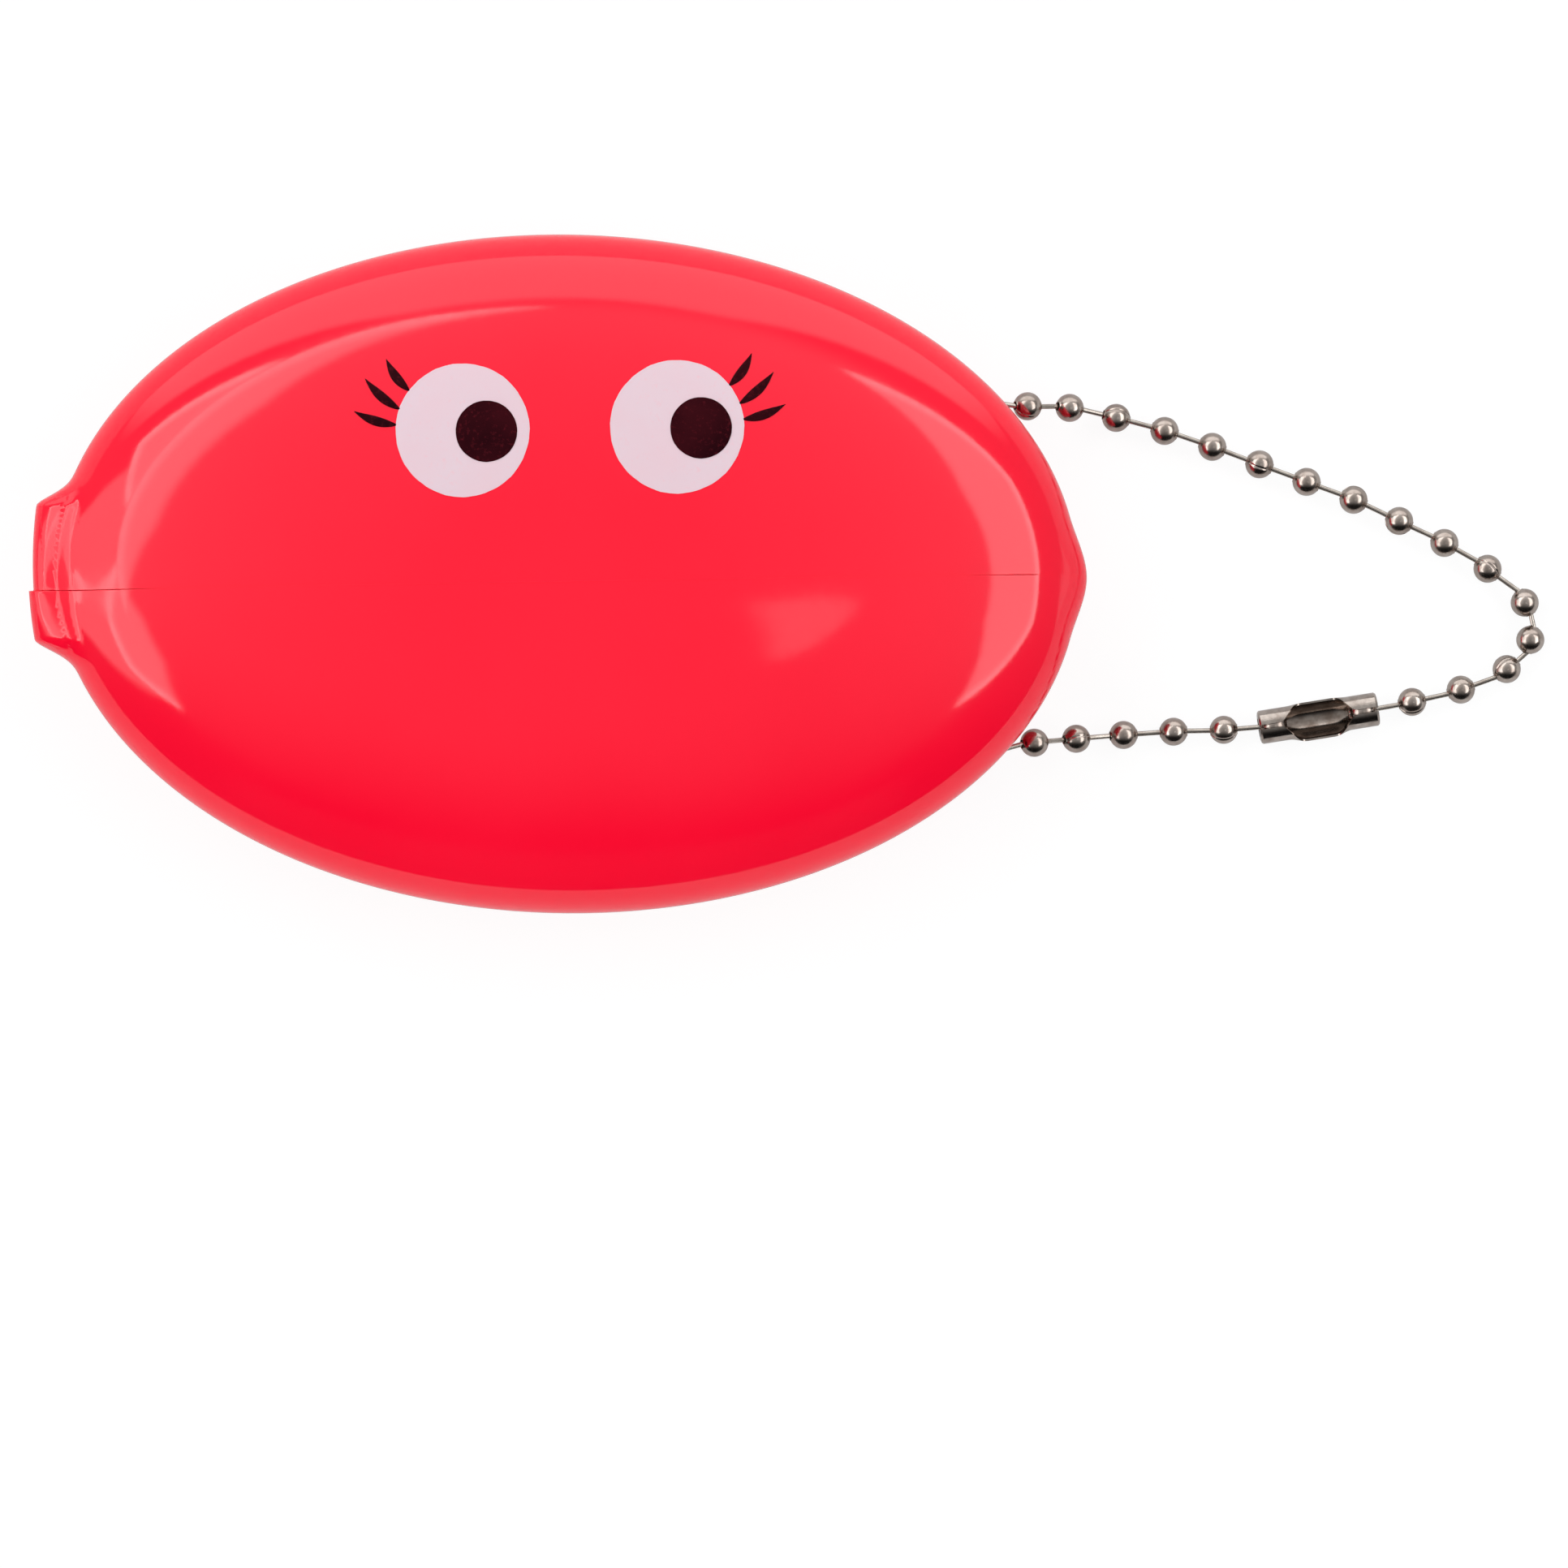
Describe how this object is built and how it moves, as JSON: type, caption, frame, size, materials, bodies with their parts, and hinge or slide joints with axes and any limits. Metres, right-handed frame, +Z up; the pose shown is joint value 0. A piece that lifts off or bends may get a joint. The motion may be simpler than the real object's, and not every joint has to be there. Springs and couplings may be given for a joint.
{
  "type": "squeeze coin purse",
  "caption": "Oval moulded squeeze purse with a slit face, printed eyes and a ball chain loop with its connector; the two lips open and the chain loop folds.",
  "frame": {"origin": "on the rest face, under the middle of the oval", "axes": "+X along the oval towards the chain, +Y across it towards the printed eyes, +Z up out of the slit face"},
  "size_m": [0.1283, 0.0572, 0.0191],
  "materials": {
    "vinyl": "glossy soft vinyl",
    "white_ink": "screen-printed ink",
    "black_ink": "screen-printed ink",
    "bead_metal": "nickel plate gone dark",
    "link_metal": "nickel plate gone dark",
    "connector_metal": "rolled nickel-plated sheet"
  },
  "bodies": {
    "purse_back": {"back_shell": "vinyl", "wall_beads": "bead_metal"},
    "upper_lip": {"upper_lip": "vinyl", "left_eye": "white_ink", "right_eye": "white_ink", "left_pupil": "black_ink", "right_pupil": "black_ink", "left_lashes": "black_ink", "right_lashes": "black_ink"},
    "lower_lip": {"lower_lip": "vinyl"},
    "inner_chain": {"inner_beads": "bead_metal", "inner_links": "link_metal"},
    "links_0": {"link_a00": "link_metal", "link_b00": "link_metal"},
    "beads_1": {"bead_a01": "bead_metal", "bead_b01": "bead_metal"},
    "links_1": {"link_a01": "link_metal", "link_b01": "link_metal"},
    "beads_2": {"bead_a02": "bead_metal", "bead_b02": "bead_metal"},
    "links_2": {"link_a02": "link_metal", "link_b02": "link_metal"},
    "beads_3": {"bead_a03": "bead_metal", "bead_b03": "bead_metal"},
    "links_3": {"link_a03": "link_metal", "link_b03": "link_metal"},
    "beads_4": {"bead_a04": "bead_metal", "bead_b04": "bead_metal"},
    "links_4": {"link_a04": "link_metal", "link_b04": "link_metal"},
    "beads_5": {"bead_a05": "bead_metal", "bead_b05": "bead_metal"},
    "links_5": {"link_a05": "link_metal", "link_b05": "link_metal"},
    "beads_6": {"bead_a06": "bead_metal", "bead_b06": "bead_metal"},
    "span": {"link_a06": "link_metal", "bead_a07": "bead_metal", "link_a07": "link_metal"},
    "connector": {"connector": "connector_metal"},
    "beads_8": {"bead_a08": "bead_metal", "bead_a17": "bead_metal"},
    "links_8": {"link_a08": "link_metal", "link_a16": "link_metal"},
    "beads_9": {"bead_a09": "bead_metal", "bead_a16": "bead_metal"},
    "links_9": {"link_a09": "link_metal", "link_a15": "link_metal"},
    "beads_10": {"bead_a10": "bead_metal", "bead_a15": "bead_metal"},
    "links_10": {"link_a10": "link_metal", "link_a14": "link_metal"},
    "beads_11": {"bead_a11": "bead_metal", "bead_a14": "bead_metal"},
    "chain_tip": {"link_a11": "link_metal", "bead_a12": "bead_metal", "link_a12": "link_metal", "bead_a13": "bead_metal", "link_a13": "link_metal"}
  },
  "joints": [
    {"name": "upper_lip_open", "type": "hinge", "parent": "purse_back", "child": "upper_lip", "pos_m": [0, 0.0287, 0.009], "axis": [-1, 0, 0], "range_deg": [0, 35], "stiffness_Nm_per_rad": 0.15, "springref_deg": -5.73},
    {"name": "lower_lip_open", "type": "hinge", "parent": "purse_back", "child": "lower_lip", "pos_m": [0, -0.0287, 0.009], "axis": [1, 0, 0], "range_deg": [0, 35], "stiffness_Nm_per_rad": 0.15, "springref_deg": -5.73},
    {"name": "inner_chain_lift", "type": "hinge", "parent": "purse_back", "child": "inner_chain", "pos_m": [0.03411, 0.0003, 0.00614], "axis": [-0.0362, 0.9993, 0], "range_deg": [0, 30]},
    {"name": "links_0_tilt", "type": "hinge", "parent": "purse_back", "child": "links_0", "pos_m": [0.03625, 0.00042, 0.00596], "axis": [0.0367, -0.9993, 0], "range_deg": [-9, 15]},
    {"name": "beads_1_tilt", "type": "hinge", "parent": "links_0", "child": "beads_1", "pos_m": [0.0383, 0.00059, 0.00544], "axis": [-0.0359, 0.9994, 0], "range_deg": [-15, 15]},
    {"name": "links_1_tilt", "type": "hinge", "parent": "beads_1", "child": "links_1", "pos_m": [0.04032, 0.00071, 0.00458], "axis": [-0.0356, 0.9994, 0], "range_deg": [-15, 15]},
    {"name": "beads_2_tilt", "type": "hinge", "parent": "links_1", "child": "beads_2", "pos_m": [0.04194, 0.00085, 0.00321], "axis": [0.0352, -0.9994, -0.0001], "range_deg": [-15, 15]},
    {"name": "links_2_tilt", "type": "hinge", "parent": "beads_2", "child": "links_2", "pos_m": [0.04392, 0.00085, 0.00228], "axis": [0.0357, -0.9994, 0.0001], "range_deg": [-15, 15]},
    {"name": "beads_3_tilt", "type": "hinge", "parent": "links_2", "child": "beads_3", "pos_m": [0.04589, 0.00074, 0.00162], "axis": [-0.0376, 0.9993, 0], "range_deg": [-15, 15]},
    {"name": "links_3_tilt", "type": "hinge", "parent": "beads_3", "child": "links_3", "pos_m": [0.04803, 0.00061, 0.00122], "axis": [-0.04, 0.9992, 0], "range_deg": [-15, 15]},
    {"name": "beads_4_tilt", "type": "hinge", "parent": "links_3", "child": "beads_4", "pos_m": [0.05008, 0.00045, 0.00123], "axis": [0.0431, -0.9991, 0], "range_deg": [-15, 15]},
    {"name": "links_4_tilt", "type": "hinge", "parent": "beads_4", "child": "links_4", "pos_m": [0.05224, 0.00022, 0.00117], "axis": [0.0475, -0.9989, 0], "range_deg": [-15, 15]},
    {"name": "beads_5_tilt", "type": "hinge", "parent": "links_4", "child": "beads_5", "pos_m": [0.05427, -0.00007, 0.00118], "axis": [-0.0529, 0.9986, 0.0013], "range_deg": [-15, 15]},
    {"name": "links_5_tilt", "type": "hinge", "parent": "beads_5", "child": "links_5", "pos_m": [0.05641, -0.00033, 0.00122], "axis": [-0.0593, 0.9982, -0.0014], "range_deg": [-15, 15]},
    {"name": "beads_6_tilt", "type": "hinge", "parent": "links_5", "child": "beads_6", "pos_m": [0.05842, -0.00058, 0.00131], "axis": [0.0665, -0.9977, 0.0096], "range_deg": [-15, 15]},
    {"name": "span_tilt", "type": "hinge", "parent": "beads_6", "child": "span", "pos_m": [0.06, -0.00087, 0.00133], "axis": [0.0242, -0.9996, 0.0114], "range_deg": [-12, 12]},
    {"name": "connector_swivel", "type": "hinge", "parent": "span", "child": "connector", "pos_m": [0.06404, -0.01112, 0.00145], "axis": [0.9848, 0.1736, 0], "continuous": true},
    {"name": "beads_8_tilt", "type": "hinge", "parent": "span", "child": "beads_8", "pos_m": [0.06677, -0.00126, 0.00133], "axis": [-0.1124, 0.9936, -0.0135], "range_deg": [-12, 12]},
    {"name": "links_8_tilt", "type": "hinge", "parent": "beads_8", "child": "links_8", "pos_m": [0.06833, -0.00157, 0.00131], "axis": [-0.0644, 0.9978, -0.0125], "range_deg": [-15, 15]},
    {"name": "beads_9_tilt", "type": "hinge", "parent": "links_8", "child": "beads_9", "pos_m": [0.0703, -0.00181, 0.00122], "axis": [0.0785, -0.9969, 0.002], "range_deg": [-15, 15]},
    {"name": "links_9_tilt", "type": "hinge", "parent": "beads_9", "child": "links_9", "pos_m": [0.07237, -0.00202, 0.00118], "axis": [0.0954, -0.9954, -0.0022], "range_deg": [-15, 15]},
    {"name": "beads_10_tilt", "type": "hinge", "parent": "links_9", "child": "beads_10", "pos_m": [0.07433, -0.0022, 0.0012], "axis": [-0.1141, 0.9935, 0], "range_deg": [-15, 15]},
    {"name": "links_10_tilt", "type": "hinge", "parent": "beads_10", "child": "links_10", "pos_m": [0.07634, -0.00233, 0.0012], "axis": [-0.141, 0.99, 0], "range_deg": [-15, 15]},
    {"name": "beads_11_tilt", "type": "hinge", "parent": "links_10", "child": "beads_11", "pos_m": [0.07826, -0.00245, 0.0012], "axis": [0.1795, -0.9838, 0], "range_deg": [-15, 15]},
    {"name": "chain_tip_tilt", "type": "hinge", "parent": "beads_11", "child": "chain_tip", "pos_m": [0.08001, -0.00241, 0.0012], "axis": [0.2343, -0.9722, 0], "range_deg": [-15, 15]}
  ],
  "couplings": [
    {"joint": "lower_lip_open", "follows": "upper_lip_open", "ratio": 1}
  ]
}
